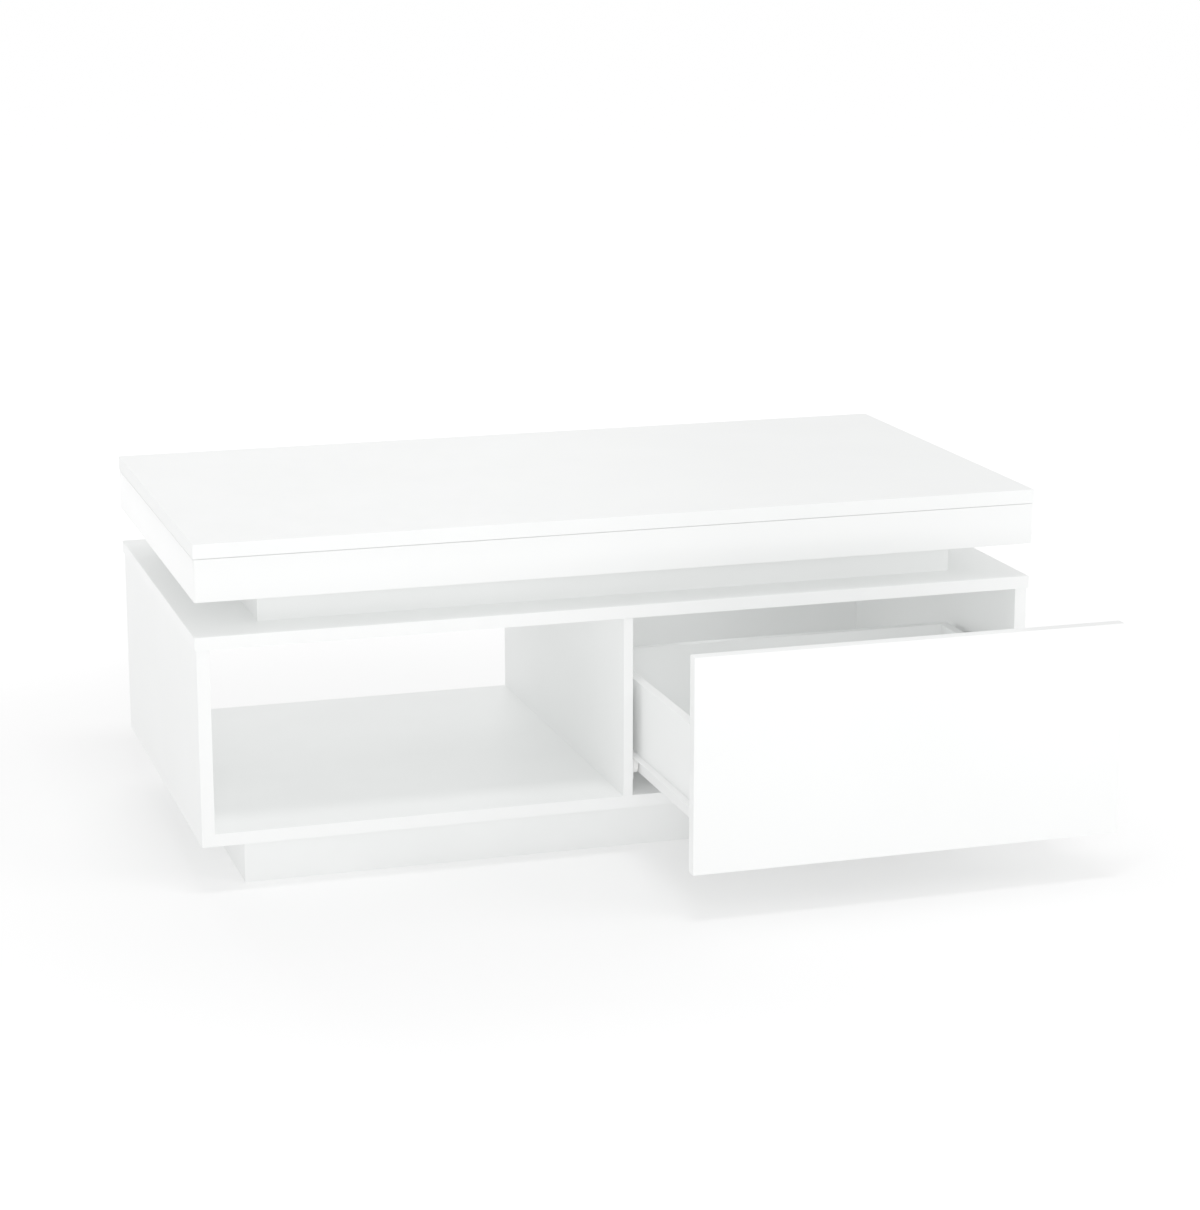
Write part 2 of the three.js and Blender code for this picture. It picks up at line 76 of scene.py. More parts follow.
CAMERA_TARGET = Vector((0.0502, 0.0, 0.2620))
CAMERA_DISTANCE = 4.130
CAMERA_AZIMUTH = -17.337  # degrees, negative to the left of the front
CAMERA_ELEVATION = 13.824
CAMERA_LENS = 90.86
CAMERA_SENSOR = 36.0
CAMERA_CLIP = (0.1, 200.0)

LIGHT_DISTANCE = 4.5
LIGHT_AIM = Vector((0, 0, 0.25))
# name: azimuth, elevation, width, height, power in watts
LIGHTS = {
    "front_card": (-17, 14, 0.8, 0.8, 22),
    "left_box": (-70, 20, 2.5, 2.0, 5),
    "right_box": (48, 26, 2.5, 2.0, 33),
    "back_box": (180, 30, 3.0, 3.0, 40),
    "high_key": (-5, 70, 1.6, 0.8, 34),
}
# the light inside the drawer's bay: width, height, power in watts
BAY_CARD = (0.15, 0.07, 0.20)
BAY_CARD_RIGHT = 0.08  # of the divider
BAY_CARD_BEHIND = 0.10  # the drawer's back
BAY_CARD_BELOW = 0.045  # the carcass's top board
BAY_CARD_AWAY = Vector((-0.95, -0.31, 0))  # against the way it shines
SKY = 0.52  # strength of the light from all round
BACKDROP = 1.0  # strength at which the camera sees it
HIGH_KEY_GAMMA = 2.0

FLOOR_RADIUS = 60.0
FLOOR_WHITE = 0.95
FLOOR_ROUGHNESS = 0.9
FLOOR_GLOW_NEAR, FLOOR_GLOW_FAR = 0.12, 0.50
FLOOR_GLOW_SPAN = (0.5, 2.0)  # metres from the table over which the glow grows


def direction(azimuth, elevation):
    """Towards a camera or light at that azimuth and elevation, in degrees."""
    turn, rise = math.radians(azimuth), math.radians(elevation)
    flat = math.cos(rise)
    return Vector((math.sin(turn) * flat, -math.cos(turn) * flat, math.sin(rise)))


def add_to_scene(thing):
    bpy.context.scene.collection.objects.link(thing)
    return thing


def aim_back(thing, away):
    thing.rotation_euler = (-away).to_track_quat("-Z", "Y").to_euler()


def make_camera():
    data = bpy.data.cameras.new("camera")
    data.sensor_width = CAMERA_SENSOR
    data.lens = CAMERA_LENS
    data.clip_start, data.clip_end = CAMERA_CLIP
    camera = add_to_scene(bpy.data.objects.new("camera", data))
    away = direction(CAMERA_AZIMUTH, CAMERA_ELEVATION)
    camera.location = CAMERA_TARGET + away * CAMERA_DISTANCE
    aim_back(camera, away)
    bpy.context.scene.camera = camera


def make_area_light(name, place, away, width, height, power):
    data = bpy.data.lights.new(name, "AREA")
    data.shape = "RECTANGLE"
    data.size, data.size_y = width, height
    data.energy = power
    light = add_to_scene(bpy.data.objects.new(name, data))
    light.location = place
    aim_back(light, away)
    return light


def make_lights():
    for name, (azimuth, elevation, *size_and_power) in LIGHTS.items():
        away = direction(azimuth, elevation)
        make_area_light(name, LIGHT_AIM + away * LIGHT_DISTANCE, away, *size_and_power)
    make_bay_card()
    make_world()
    view = bpy.context.scene.view_settings
    view.view_transform = "Standard"
    view.gamma = HIGH_KEY_GAMMA


def make_bay_card():
    """A small light, unseen by the camera, that brightens the bay behind the open drawer."""
    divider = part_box("carcass_divider")[1].x
    drawer_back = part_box("drawer_back")[1].y
    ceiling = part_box("carcass_top")[0].z
    place = Vector((
        divider + BAY_CARD_RIGHT, drawer_back + BAY_CARD_BEHIND, ceiling - BAY_CARD_BELOW
    ))
    card = make_area_light("bay_card", place, BAY_CARD_AWAY, *BAY_CARD)
    card.visible_camera = False


def make_world():
    """A white backdrop that lights the table less than it shows."""
    world = bpy.data.worlds.new("studio")
    world.use_nodes = True
    tree = world.node_tree
    sky = tree.nodes["Background"]
    sky.inputs["Color"].default_value = (1, 1, 1, 1)
    sky.inputs["Strength"].default_value = SKY
    backdrop = tree.nodes.new("ShaderNodeBackground")
    backdrop.inputs["Color"].default_value = (1, 1, 1, 1)
    backdrop.inputs["Strength"].default_value = BACKDROP
    ray = tree.nodes.new("ShaderNodeLightPath")
    mix = tree.nodes.new("ShaderNodeMixShader")
    tree.links.new(ray.outputs["Is Camera Ray"], mix.inputs["Fac"])
    tree.links.new(sky.outputs["Background"], mix.inputs[1])
    tree.links.new(backdrop.outputs["Background"], mix.inputs[2])
    tree.links.new(mix.outputs["Shader"], tree.nodes["World Output"].inputs["Surface"])
    bpy.context.scene.world = world


def make_floor():
    r = FLOOR_RADIUS
    mesh = bpy.data.meshes.new("floor")
    mesh.from_pydata([(-r, -r, 0), (r, -r, 0), (r, r, 0), (-r, r, 0)], [], [(0, 1, 2, 3)])
    floor = add_to_scene(bpy.data.objects.new("floor", mesh))
    material, tree, shader = new_material("floor")
    shader.inputs["Base Color"].default_value = (FLOOR_WHITE, FLOOR_WHITE, FLOOR_WHITE, 1)
    shader.inputs["Roughness"].default_value = FLOOR_ROUGHNESS
    shader.inputs["Emission Color"].default_value = (1, 1, 1, 1)
    place = tree.nodes.new("ShaderNodeTexCoord")
    away = tree.nodes.new("ShaderNodeVectorMath")
    away.operation = "LENGTH"
    glow = tree.nodes.new("ShaderNodeMapRange")
    glow.interpolation_type = "SMOOTHSTEP"
    near, far = FLOOR_GLOW_SPAN
    limits = (near, far, FLOOR_GLOW_NEAR, FLOOR_GLOW_FAR)
    for socket, value in zip(("From Min", "From Max", "To Min", "To Max"), limits):
        glow.inputs[socket].default_value = value
    tree.links.new(place.outputs["Object"], away.inputs[0])
    tree.links.new(away.outputs["Value"], glow.inputs["Value"])
    tree.links.new(glow.outputs["Result"], shader.inputs["Emission Strength"])
    mesh.materials.append(material)


# ---------------------------------------------------------------- materials

RAMP_SPAN = (0.35, 0.65)  # where most of a noise's values lie
TONE_DETAIL, GLOSS_DETAIL, RELIEF_DETAIL = 2.0, 3.0, 2.0
GLOSS_FINER = 6  # how many times finer the roughness varies than the tone


def new_material(name):
    material = bpy.data.materials.new(name)
    material.use_nodes = True
    tree = material.node_tree
    return material, tree, tree.nodes["Principled BSDF"]


def noise(tree, scale, detail, stretch=(1, 1, 1)):
    """Noise in the piece's own coordinates, with about scale features a metre."""
    place = tree.nodes.new("ShaderNodeTexCoord")
    mapping = tree.nodes.new("ShaderNodeMapping")
    mapping.inputs["Scale"].default_value = stretch
    texture = tree.nodes.new("ShaderNodeTexNoise")
    texture.inputs["Scale"].default_value = scale
    texture.inputs["Detail"].default_value = detail
    tree.links.new(place.outputs["Object"], mapping.inputs["Vector"])
    tree.links.new(mapping.outputs["Vector"], texture.inputs["Vector"])
    return texture.outputs["Fac"]


def ramp(tree, factor, low, high):
    """Maps the middle of a noise to a range of colours or numbers."""
    node = tree.nodes.new("ShaderNodeValToRGB")
    for element, position, value in zip(node.color_ramp.elements, RAMP_SPAN, (low, high)):
        element.position = position
        element.color = (*value, 1) if isinstance(value, tuple) else (value, value, value, 1)
    tree.links.new(factor, node.inputs["Fac"])
    return node.outputs["Color"]


def bump(tree, shader, height, strength, distance):
    node = tree.nodes.new("ShaderNodeBump")
    node.inputs["Strength"].default_value = strength
    node.inputs["Distance"].default_value = distance
    tree.links.new(height, node.inputs["Height"])
    tree.links.new(node.outputs["Normal"], shader.inputs["Normal"])


def finish_material(name, dark, light, rough, drift, grain, relief, stretch=(1, 1, 1)):
    """Two close tones that drift, a roughness that varies and a fine relief."""
    material, tree, shader = new_material(name)
    tone = ramp(tree, noise(tree, drift, TONE_DETAIL), dark, light)
    gloss = ramp(tree, noise(tree, drift * GLOSS_FINER, GLOSS_DETAIL, stretch), *rough)
    tree.links.new(tone, shader.inputs["Base Color"])
    tree.links.new(gloss, shader.inputs["Roughness"])
    strength, depth = relief
    bump(tree, shader, noise(tree, grain, RELIEF_DETAIL, stretch), strength, depth * MM)
    return material, shader


def make_materials():
    made = {}

    def add(name, *values, stretch=(1, 1, 1), **sockets):
        made[name], shader = finish_material(name, *values, stretch=stretch)
        for socket, value in sockets.items():
            shader.inputs[socket.replace("_", " ")].default_value = value

    # name, darker tone, lighter tone,
    # roughness range, drift, grain, (relief strength, its depth in millimetres)
    add("white_board", (0.905, 0.923, 0.914), (0.923, 0.941, 0.932),
        (0.46, 0.54), 7, 420, (0.10, 0.05), Specular_IOR_Level=0.4)
    add("white_lacquer", (0.905, 0.920, 0.912), (0.920, 0.935, 0.927),
        (0.28, 0.34), 5, 60, (0.02, 0.05), Coat_Weight=0.3, Coat_Roughness=0.15)
    # the hardboard's foil; on the plinth this darker tone is painted shade, for the shade under the
    # carcass
    add("white_foil_and_painted_shade", (0.880, 0.898, 0.890), (0.905, 0.922, 0.914),
        (0.34, 0.44), 14, 700, (0.16, 0.05), stretch=(1, 0.12, 1))
    add("edge_band", (0.900, 0.915, 0.908), (0.918, 0.932, 0.925),
        (0.34, 0.42), 9, 900, (0.10, 0.03))
    add("white_steel", (0.840, 0.850, 0.845), (0.870, 0.880, 0.875),
        (0.36, 0.46), 25, 1500, (0.25, 0.05))
    add("nylon", (0.850, 0.850, 0.830), (0.885, 0.885, 0.868),
        (0.40, 0.52), 40, 900, (0.15, 0.05))
    add("black_steel", (0.005, 0.0052, 0.006), (0.008, 0.0083, 0.009),
        (0.46, 0.62), 30, 2200, (0.5, 0.08))
    add("zinc_steel", (0.50, 0.51, 0.54), (0.66, 0.67, 0.70),
        (0.24, 0.40), 35, 1300, (0.2, 0.04), stretch=(0.2, 1, 1), Metallic=1.0)
    add("clear_pad", (0.74, 0.76, 0.75), (0.82, 0.84, 0.83),
        (0.30, 0.42), 60, 900, (0.1, 0.04), Transmission_Weight=0.35)
    return made


# CAD nodes whose finish isn't the plain one of their slot; the plinth's darker tone is painted
# shade
FINISH_AND_PAINTED_SHADE = {node: "white_foil_and_painted_shade" for node in SLOT_OF if node.startswith("plinth")}
FINISH_AND_PAINTED_SHADE.update(drawer_bottom="white_foil_and_painted_shade", drawer_bay_back="white_foil_and_painted_shade")
# how far sharp edges are rounded, in millimetres, by slot and then for some nodes
SOFT_EDGE = {"white_board": 0.5, "white_lacquer": 1.2, "white_steel": 0.25, "black_steel": 0.4}
SOFTER_EDGE = {
    "carcass_top": 1.5,
    "carcass_bottom": 1.5,
    "carcass_left_side": 1.0,
    "carcass_right_side": 1.0,
    "carcass_divider": 0.8,
}
SOFT_EDGE_SEGMENTS = 3
SOFT_EDGE_ANGLE = 40  # degrees; edges that turn less stay as they are


def soften(piece, width):
    """Rounds the sharp edges of a piece, by width in millimetres."""
    bevel = piece.modifiers.new("soft_edges", "BEVEL")
    bevel.width = width * MM
    bevel.segments = SOFT_EDGE_SEGMENTS
    bevel.limit_method = "ANGLE"
    bevel.angle_limit = math.radians(SOFT_EDGE_ANGLE)


def dress_cad_nodes():
    for name, node in frame["nodes"].items():
        slot = SLOT_OF[name]
        node.data.materials.clear()
        node.data.materials.append(MATERIALS[FINISH_AND_PAINTED_SHADE.get(name, slot)])
        if slot in SOFT_EDGE:
            soften(node, SOFTER_EDGE.get(name, SOFT_EDGE[slot]))


# ---------------------------------------------------------------- mesh helpers

ON_AXIS = 0.01  # radius of a turned profile's ends, in millimetres; at 0 its faces would collapse
WELD = 0.01 * MM  # vertices closer than this are one


def middle(node):
    low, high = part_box(node)
    return (low + high) / 2


def spread(first, last, count):
    """Evenly spaced numbers from first to last, both included."""
    return [first + (last - first) * i / (count - 1) for i in range(count)]


def make_piece(name, vertices, faces, body, slot, material=None, smooth=True):
    mesh = bpy.data.meshes.new(name)
    mesh.from_pydata([tuple(v) for v in vertices], [], faces)
    mesh.validate()
    mesh.update()
    mesh.polygons.foreach_set("use_smooth", [smooth] * len(mesh.polygons))
    mesh.materials.append(MATERIALS[material or slot])
    piece = add_to_scene(bpy.data.objects.new(name, mesh))
    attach(piece, body)
    return piece


def merge(shapes):
    """One list of vertices and faces from several."""
    vertices, faces = [], []
    for more_vertices, more_faces in shapes:
        offset = len(vertices)
        vertices += more_vertices
        faces += [tuple(i + offset for i in face) for face in more_faces]
    return vertices, faces


def placed(shape, at, axis):
    """A shape modelled along +Z from the origin, moved to a point and turned to an axis."""
    vertices, faces = shape
    turn = Vector(axis).to_track_quat("Z", "Y").to_matrix()
    return [turn @ Vector(v) + Vector(at) for v in vertices], faces


def ring_faces(rings, around, closed_ends=True):
    faces = []
    for ring in range(rings - 1):
        for k in range(around):
            a, b = ring * around + k, ring * around + (k + 1) % around
            faces.append((a, b, b + around, a + around))
    if closed_ends:
        faces.append(tuple(reversed(range(around))))
        faces.append(tuple(range((rings - 1) * around, rings * around)))
    return faces


def turned(profile, around=40):
    """A solid of revolution about +Z. The profile lists (radius, height) in millimetres."""
    vertices = []
    for radius, height in profile:
        for k in range(around):
            angle = 2 * math.pi * k / around
            x, y = radius * math.cos(angle), radius * math.sin(angle)
            vertices.append(Vector((x, y, height)) * MM)
    return vertices, ring_faces(len(profile), around)


def turned_ring(profile, around=48):
    """A ring of revolution about +Z. The profile is a closed loop of (radius, height)."""
    vertices, faces = turned(profile, around)
    faces = faces[:-2]
    last = (len(profile) - 1) * around
    for k in range(around):
        after = (k + 1) % around
        faces.append((last + k, last + after, after, k))
    return vertices, faces


def tube_along(path, radius, around=8):
    """A round wire along a path of points, closed at both ends."""
    vertices = []
    for i, point in enumerate(path):
        ahead = path[min(i + 1, len(path) - 1)] - path[max(i - 1, 0)]
        ahead.normalize()
        side = ahead.cross(X_AXIS if abs(ahead.x) < 0.9 else Z_AXIS).normalized()
        other = ahead.cross(side)
        for k in range(around):
            angle = 2 * math.pi * k / around
            vertices.append(point + (side * math.cos(angle) + other * math.sin(angle)) * radius)
    return vertices, ring_faces(len(path), around)


def slab(low, high, edge):
    """A board from one corner to the other, with its edges cut off at 45 degrees."""
    size = high - low
    centre = (low + high) / 2
    half = size / 2
    vertices, index = [], {}
    for flat in range(3):
        for sx in (-1, 1):
            for sy in (-1, 1):
                for sz in (-1, 1):
                    sign = (sx, sy, sz)
                    corner = [s * (h - (0 if axis == flat else edge))
                              for axis, (s, h) in enumerate(zip(sign, half))]
                    index[flat, sign] = len(vertices)
                    vertices.append(centre + Vector(corner))
    faces = []
    for flat in range(3):
        u, v = [axis for axis in range(3) if axis != flat]
        for s in (-1, 1):
            loop = []
            for su, sv in ((-1, -1), (1, -1), (1, 1), (-1, 1)):
                sign = [0, 0, 0]
                sign[flat], sign[u], sign[v] = s, su, sv
                loop.append(index[flat, tuple(sign)])
            faces.append(tuple(loop))
    for axis in range(3):
        u, v = [other for other in range(3) if other != axis]
        for su in (-1, 1):
            for sv in (-1, 1):
                low_sign, high_sign = [0, 0, 0], [0, 0, 0]
                for sign, along in ((low_sign, -1), (high_sign, 1)):
                    sign[axis], sign[u], sign[v] = along, su, sv
                faces.append((index[u, tuple(low_sign)], index[u, tuple(high_sign)],
                              index[v, tuple(high_sign)], index[v, tuple(low_sign)]))
    for sx in (-1, 1):
        for sy in (-1, 1):
            for sz in (-1, 1):
                faces.append(tuple(index[flat, (sx, sy, sz)] for flat in range(3)))
    return vertices, faces


def fix_normals(piece):
    """Turns every face outwards."""
    bm = bmesh.new()
    bm.from_mesh(piece.data)
    bmesh.ops.recalc_face_normals(bm, faces=bm.faces)
    bm.to_mesh(piece.data)
    bm.free()


def smooth_by_angle(piece, degrees=35):
    """Smooth shading that stays crisp across sharper edges."""
    limit = math.radians(degrees)
    bm = bmesh.new()
    bm.from_mesh(piece.data)
    for edge in bm.edges:
        edge.smooth = len(edge.link_faces) == 2 and edge.calc_face_angle(0) < limit
    bm.to_mesh(piece.data)
    bm.free()


def close_up(piece):
    """Joins vertices that coincide, turns the faces outwards and keeps the sharp edges crisp."""
    bm = bmesh.new()
    bm.from_mesh(piece.data)
    bmesh.ops.remove_doubles(bm, verts=bm.verts, dist=WELD)
    bmesh.ops.recalc_face_normals(bm, faces=bm.faces)
    bm.to_mesh(piece.data)
    bm.free()
    smooth_by_angle(piece)


# ---------------------------------------------------------------- edge strips

STRIP_PROUD = 0.15 * MM  # how far a strip stands out of its board
STRIP_INSET = 1.7 * MM  # how far it stays inside the board's other faces
STRIP_SINK = 0.3 * MM  # how deep it sits in the board
# the axis each face is square to, and its end of that axis
FACES = {"front": (1, -1), "back": (1, 1), "left": (0, -1), "right": (0, 1), "top": (2, 1)}
STRIPPED = {
    "carcass_top": ("front", "back", "left", "right"),
    "carcass_bottom": ("front", "back", "left", "right"),
    "carcass_left_side": ("front", "back"),
    "carcass_right_side": ("front", "back"),
    "carcass_divider": ("front", "back"),
    "drawer_left_side": ("top",),
    "drawer_right_side": ("top",),
    "drawer_back": ("top",),
}


def edge_strip(node, face):
    """The plastic strip that covers a board's cut edge."""
    low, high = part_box(node)
    axis, sign = FACES[face]
    inset = Vector((STRIP_INSET,) * 3)
    a, b = low + inset, high - inset
    if sign > 0:
        a[axis], b[axis] = high[axis] - STRIP_SINK, high[axis] + STRIP_PROUD
    else:
        a[axis], b[axis] = low[axis] - STRIP_PROUD, low[axis] + STRIP_SINK
    shape = slab(a, b, STRIP_PROUD / 2)
    name = f"{node}_strip_{face}"
    fix_normals(make_piece(name, *shape, BODY_OF[node], SLOT_OF[node], "edge_band", smooth=False))


# ---------------------------------------------------------------- the lacquered band of the box

BAND_CORNER = 3.0 * MM  # radius of the box's upright corners
BAND_EDGE = 1.0 * MM  # rounding of its upper and lower outer edges
BAND_NIP = 0.3 * BAND_EDGE  # the round's middle point, and the chamfer of the inner edges
BAND_CORNER_STEPS = 6


def band_section(thickness, low_z, high_z):
    """A band board's section as (depth from the outer face, height)."""
    edge, nip = BAND_EDGE, BAND_NIP
    return [
        (edge, low_z), (nip, low_z + nip), (0, low_z + edge),
        (0, high_z - edge), (nip, high_z - nip), (edge, high_z),
        (thickness - nip, high_z), (thickness, high_z - nip),
        (thickness, low_z + nip), (thickness - nip, low_z),
    ]


def band_corner(half_length, depth, angle):
    """Where a line at that depth is along the board and into it, at an angle round the corner."""
    radius = BAND_CORNER - depth
    if radius <= 0:
        return half_length - depth, depth
    along = half_length - BAND_CORNER + radius * math.sin(angle)
    return along, BAND_CORNER - radius * math.cos(angle)


def make_band_boards():
    """The box's four boards, mitred, with their joints at the middle of its rounded corners."""
    outer_low, outer_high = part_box("box_front")[0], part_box("box_back")[1]
    half = (outer_high - outer_low) / 2
    centre = (outer_high + outer_low) / 2
    angles = spread(0, math.pi / 4, BAND_CORNER_STEPS + 1)
    for side, quarter in (("front", 0), ("right", 1), ("back", 2), ("left", 3)):
        node = f"box_{side}"
        low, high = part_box(node)
        thickness = min(high.x - low.x, high.y - low.y)
        half_length, reach = (half.x, half.y) if quarter % 2 == 0 else (half.y, half.x)
        turn = Matrix.Rotation(quarter * math.pi / 2, 3, "Z")
        section = band_section(thickness, low.z, high.z)
        vertices = []
        for way, stations in ((-1, reversed(angles)), (1, angles)):
            for angle in stations:
                for depth, z in section:
                    along, inward = band_corner(half_length, depth, angle)
                    local = Vector((way * along, inward - reach, z))
                    vertices.append(turn @ local + Vector((centre.x, centre.y, 0)))
        faces = ring_faces(2 * len(angles), len(section))
        piece = make_piece(f"{node}_mitred", vertices, faces, BODY_OF[node], SLOT_OF[node])
        close_up(piece)
        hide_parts(node)


# ---------------------------------------------------------------- screws and caps

SINK = 0.2  # how far heads and caps reach into what they sit on, in millimetres
# screw heads as (radius, height) in millimetres
WOOD_SCREW = (4.0, 1.9)
WALL_SCREW = (3.6, 1.1)
CHANNEL_SCREW = (2.4, 0.8)
ANGLE_SCREW = (2.3, 0.8)
# a head's shape, as shares of its radius and height
HEAD_RIM = 0.35  # height of the rim under the dome
CROSS_ARM = 0.16  # half the width of the recess's arms
CROSS_REACH = 0.62
CROSS_DEPTH = 0.55
CAP_RADIUS, CAP_HEIGHT = 6.5, 1.0


def screw_head(radius, height, around=36, rings=10):
    """A domed head with a cross recess, in millimetres."""
    vertices = []
    for ring in range(rings + 1):
        share = 1 - ring / rings
        for k in range(around):
            angle = 2 * math.pi * k / around
            x, y = radius * share * math.cos(angle), radius * share * math.sin(angle)
            z = height * (HEAD_RIM + (1 - HEAD_RIM) * math.sqrt(max(0.0, 1 - share * share)))
            if min(abs(x), abs(y)) < CROSS_ARM * radius and share < CROSS_REACH:
                z -= CROSS_DEPTH * height
            vertices.append(Vector((x, y, z)) * MM)
    foot = [Vector((v.x, v.y, -SINK * MM)) for v in vertices[:around]]
    vertices = foot + vertices
    faces = ring_faces(rings + 2, around, closed_ends=False)
    faces.append(tuple(reversed(range(around))))
    return vertices, faces


def screws(name, places, axis, body, head=WOOD_SCREW):
    shape = merge([placed(screw_head(*head), place, axis) for place in places])
    make_piece(name, *shape, body, "zinc_steel", smooth=False)


def screw_caps(name, places, axis, body):
    """Round plastic caps over screws, with a raised rim."""
    lip, dish = 0.55 * CAP_HEIGHT, 0.75 * CAP_HEIGHT
    profile = [
        (ON_AXIS, -SINK), (CAP_RADIUS, -SINK), (CAP_RADIUS, lip), (CAP_RADIUS - 0.5, CAP_HEIGHT),
        (CAP_RADIUS - 1.6, CAP_HEIGHT), (CAP_RADIUS - 2.1, dish), (ON_AXIS, dish),
    ]
    shape = merge([placed(turned(profile), place, axis) for place in places])
    make_piece(name, *shape, body, "white_board", "nylon", smooth=False)


# ---------------------------------------------------------------- where the fixings go

# Rows, as the end ones' distances from the row's two ends in millimetres, and how many there are
FOOT_ROW = (30, 12, 3)
WALL_ROW = (22, 10, 3)
LID_ROW = (14, 14, 5)
CHANNEL_ROW = (60, 20, 4)
ANGLE_ROW = (30, 40, 4)
CAP_ROW = (80, 80, 3)
NAIL_INSET = 7
NAIL_ROW = (NAIL_INSET, NAIL_INSET, 6)

# Distances in millimetres
BRACKET_STEEL = 2.5
FOOT_FROM_WALL = 23  # the foot's screws from the bracket's outer face
WALL_SEAT = 2.2  # the wall screws' heads from that face
WALL_RISE = 8.5  # the same screws above the bracket's lower edge
FLANGE_REACH = 11  # the lid bracket's screws from its inner edge
CHANNEL_STEEL = 1.2
CHANNEL_RISE = 7.3  # above the channel's middle, clear of the head of the drawer roller's axle
ANGLE_WIDTH = 9  # of the drawer's angle
ANGLE_DROP = 4  # its screws below its upper edge
CAP_SHIFT = 17  # of the middle row of caps, clear of the plinth's centre rail
BLOCK_SIZE, BLOCK_CHAMFER, BLOCK_GAP = 32, 3, 0.2
BLOCK_SHARE = 0.6  # a corner block's height, of its size
# a nail's head as (radius, height)
NAIL_HEAD = ((ON_AXIS, -SINK), (2.2, -SINK), (2.2, 0.35), (1.8, 0.6), (ON_AXIS, 0.65))


def row(low, high, first, last, count):
    """Places along a line from low to high."""
    return spread(low + first * MM, high - last * MM, count)


def lift_fixings():
    """Screws in the base brackets' feet and walls and in the lid brackets' flanges."""
    for side, sign in SIDES:
        base, lid = f"lift_base_{side}", f"lid_bracket_{side}"
        low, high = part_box(base)
        wall = high.x if sign > 0 else low.x
        foot = [Vector((wall - sign * FOOT_FROM_WALL * MM, y, low.z + BRACKET_STEEL * MM))
                for y in row(low.y, high.y, *FOOT_ROW)]
        screws(f"{base}_foot_screws", foot, Z_AXIS, BODY_OF[base])
        plate = [Vector((wall - sign * WALL_SEAT * MM, y, low.z + WALL_RISE * MM))
                 for y in row(low.y, high.y, *WALL_ROW)]
        screws(f"{base}_wall_screws", plate, -sign * X_AXIS, BODY_OF[base], WALL_SCREW)
        low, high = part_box(lid)
        inner = low.x if sign > 0 else high.x
        flange = [Vector((inner + sign * FLANGE_REACH * MM, y, high.z - BRACKET_STEEL * MM))
                  for y in row(low.y, high.y, *LID_ROW)]
        screws(f"{lid}_screws", flange, -Z_AXIS, BODY_OF[lid])


def slide_fixings():
    """Flat screws that hold the channels to the carcass and the angles to the drawer."""
    for side, sign in (("left", 1), ("right", -1)):
        channel, angle = f"cabinet_slide_{side}", f"drawer_slide_{side}"
        low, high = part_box(channel)
        web = (low.x if sign > 0 else high.x) + sign * CHANNEL_STEEL * MM
        height = (low.z + high.z) / 2 + CHANNEL_RISE * MM
        places = [Vector((web, y, height)) for y in row(low.y, high.y, *CHANNEL_ROW)]
        screws(f"{channel}_screws", places, sign * X_AXIS, BODY_OF[channel], CHANNEL_SCREW)
        low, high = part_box(angle)
        face = (low.x if sign > 0 else high.x) + sign * ANGLE_WIDTH * MM
        height = high.z - ANGLE_DROP * MM
        places = [Vector((face, y, height)) for y in row(low.y, high.y, *ANGLE_ROW)]
        screws(f"{angle}_screws", places, -sign * X_AXIS, BODY_OF[angle], ANGLE_SCREW)


def bottom_fixings():
    """Caps over the screws up into the sides and the divider."""
    low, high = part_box("carcass_bottom")
    uprights = ("carcass_left_side", "carcass_divider", "carcass_right_side")
    rows = [middle(board).x for board in uprights]
    rows[1] += CAP_SHIFT * MM
    places = [Vector((x, y, low.z)) for x in rows for y in row(low.y, high.y, *CAP_ROW)]
    screw_caps("carcass_bottom_screw_caps", places, -Z_AXIS, BODY_OF["carcass_bottom"])


def plinth_fixings():
    """A screwed block in each corner of the plinth."""
    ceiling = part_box("carcass_bottom")[0].z
    left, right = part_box("plinth_left")[1].x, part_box("plinth_right")[0].x
    front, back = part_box("plinth_front")[1].y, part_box("plinth_back")[0].y
    size, gap = BLOCK_SIZE * MM, BLOCK_GAP * MM
    shapes, heads = [], []
    for x, x_way in ((left, 1), (right, -1)):
        for y, y_way in ((front, 1), (back, -1)):
            corner = Vector((x + x_way * gap, y + y_way * gap, ceiling - gap))
            far = corner + Vector((x_way * size, y_way * size, -size * BLOCK_SHARE))
            a = Vector(map(min, corner, far))
            b = Vector(map(max, corner, far))
            shapes.append(slab(a, b, BLOCK_CHAMFER * MM))
            heads.append(Vector(((a.x + b.x) / 2, (a.y + b.y) / 2, a.z)))
    body = BODY_OF["plinth_front"]
    blocks = make_piece(
        "plinth_corner_blocks", *merge(shapes), body, "white_board", "nylon", smooth=False
    )
    fix_normals(blocks)
    screws("plinth_corner_block_screws", heads, -Z_AXIS, body)


def back_fixings():
    """Small nails round the bay's back board."""
    board = "drawer_bay_back"
    low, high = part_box(board)
    inset, outside = NAIL_INSET * MM, high.y
    places = [Vector((x, outside, z)) for x in row(low.x, high.x, *NAIL_ROW)
              for z in (low.z + inset, high.z - inset)]
    places += [Vector((x, outside, middle(board).z)) for x in (low.x + inset, high.x - inset)]
    head = turned(NAIL_HEAD, around=20)
    shape = merge([placed(head, place, Y_AXIS) for place in places])
    make_piece(f"{board}_nails", *shape, BODY_OF[board], "zinc_steel", smooth=False)


# ---------------------------------------------------------------- rollers, bumpers and springs

# millimetres
ROLLER_BORE, ROLLER_HUB = 2.5, 4.6  # radii
ROLLER_RIM = 2.2  # thickness of the rim
ROLLER_RECESS = 1.5  # depth of the web below the hub and the rim
ROLLER_NIP, ROLLER_SLOPE = 0.3, 0.4  # chamfers, and the lean of the recess's walls
ROLLER_TREAD = ((1.0, 0), (0.35, 0.3), (0.05, 0.9))  # its rounding, in from the radius and the side

